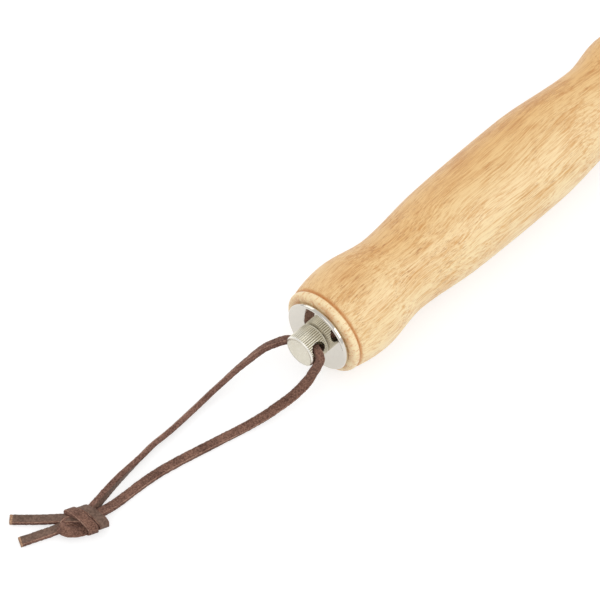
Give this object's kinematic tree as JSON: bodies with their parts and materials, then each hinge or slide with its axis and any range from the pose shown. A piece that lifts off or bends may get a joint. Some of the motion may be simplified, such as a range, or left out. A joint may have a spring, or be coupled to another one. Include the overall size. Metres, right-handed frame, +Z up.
{
  "type": "garden dibber",
  "caption": "Hand dibber with a turned wooden handle, a tapered steel spike with seed-depth rings, and a leather lace through a knurled hanging screw at the butt.",
  "frame": {"origin": "on the surface the tool lies on, below the middle of the tool, lace left out", "axes": "+X along the tool from the butt to the point, +Z up"},
  "size_m": [0.4083, 0.0438, 0.0326],
  "materials": {
    "handle_wood": "waxed satin",
    "insert_brass": "machined",
    "disc_nickel": "mirror polished nickel",
    "screw_nickel": "satin nickel",
    "steel_satin": "satin",
    "steel_polished": "polished",
    "leather": "suede side and grain side"
  },
  "bodies": {
    "tool": {"handle": "handle_wood", "threaded_insert": "insert_brass", "collar": "steel_polished", "spike": "steel_polished", "spike_point": "steel_polished", "spike_rivet": "steel_satin"},
    "disc": {"end_disc": "disc_nickel"},
    "screw_and_lace": {"hanging_screw": "screw_nickel", "lace_through": "leather", "lace_near": "leather", "lace_far": "leather", "lace_knot": "leather", "lace_tail_upper": "leather", "lace_tail_lower": "leather"}
  },
  "joints": [
    {"name": "disc_lift", "type": "slide", "parent": "tool", "child": "disc", "axis": [-1, 0, 0], "range_m": [0, 0.01225]},
    {"name": "screw_turn", "type": "hinge", "parent": "disc", "child": "screw_and_lace", "pos_m": [-0.15, 0, 0.0163], "axis": [-1, 0, 0], "range_deg": [0, 4411]}
  ],
  "couplings": [
    {"joint": "screw_turn", "follows": "disc_lift", "rad_per_m": 6283.2}
  ]
}
